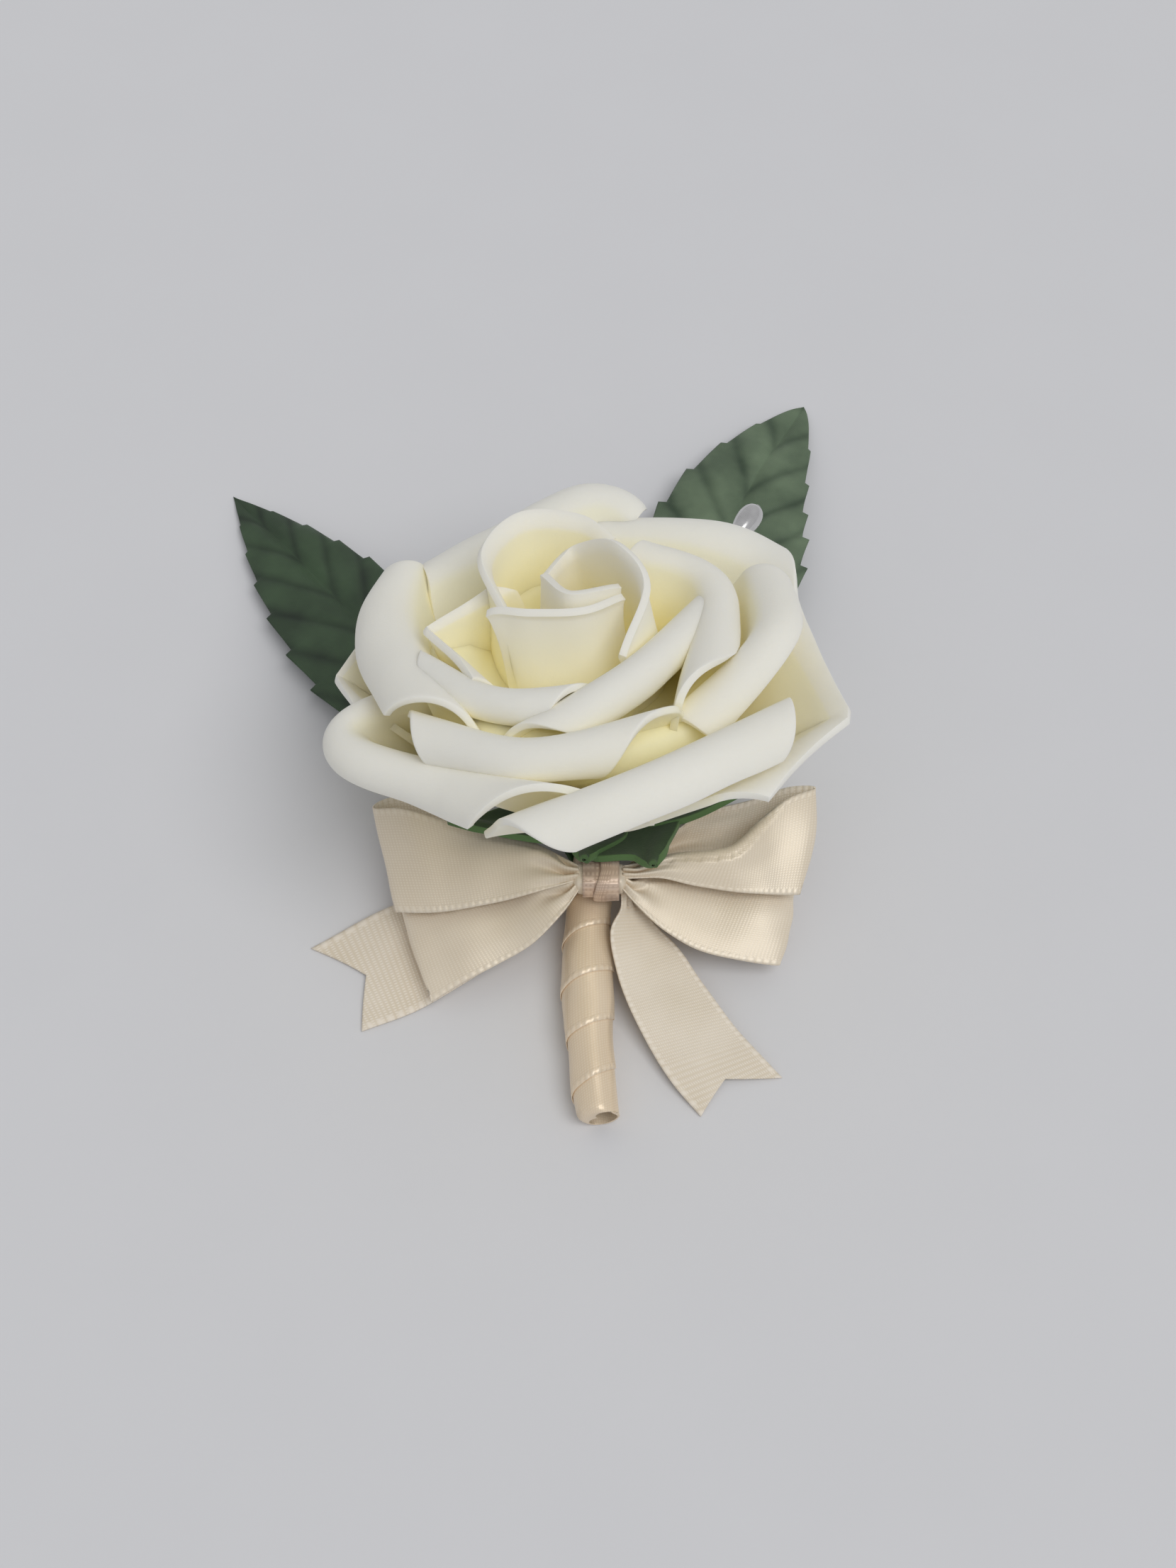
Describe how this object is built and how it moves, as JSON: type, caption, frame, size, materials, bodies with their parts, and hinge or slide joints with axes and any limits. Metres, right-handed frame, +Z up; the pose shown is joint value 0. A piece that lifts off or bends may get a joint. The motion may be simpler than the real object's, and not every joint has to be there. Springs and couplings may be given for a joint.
{
  "type": "boutonniere",
  "caption": "Lapel flower lying flat: a foam rose with a green calyx, two rose leaves, a satin ribbon bow, a ribbon-wound stem and a pearl-headed pin.",
  "frame": {"origin": "middle of the underside of the whole, on the surface that it lies on", "axes": "+Z up from that surface, -Y along the stem to its end, +X to the right as seen with the stem towards the viewer"},
  "size_m": [0.1024, 0.137, 0.0554],
  "materials": {
    "petal_foam": "soft matt foam, ivory white",
    "calyx_foam": "matt green foam",
    "stem_plastic": "green plastic over wire",
    "leaf_cloth_dark": "dark green pressed cloth, slight sheen",
    "leaf_cloth_light": "green pressed cloth, slight sheen",
    "wrap_satin": "champagne satin ribbon",
    "bow_satin": "champagne satin on the face, matt ribbed on the back",
    "band_satin": "pinkish champagne satin strip",
    "pin_steel": "polished nickel-plated steel",
    "pearl_coat": "glossy pearl lacquer"
  },
  "bodies": {
    "root": {"rose_bloom": "petal_foam", "rose_stem": "stem_plastic", "rose_calyx": "calyx_foam", "leaf_left": "leaf_cloth_dark", "leaf_left_stalk": "stem_plastic", "leaf_right": "leaf_cloth_light", "leaf_right_stalk": "stem_plastic", "stem_wrap": "wrap_satin", "bow_ribbon": "bow_satin", "bow_band": "band_satin", "pin_shaft": "pin_steel", "pin_head": "pearl_coat"}
  },
  "joints": []
}
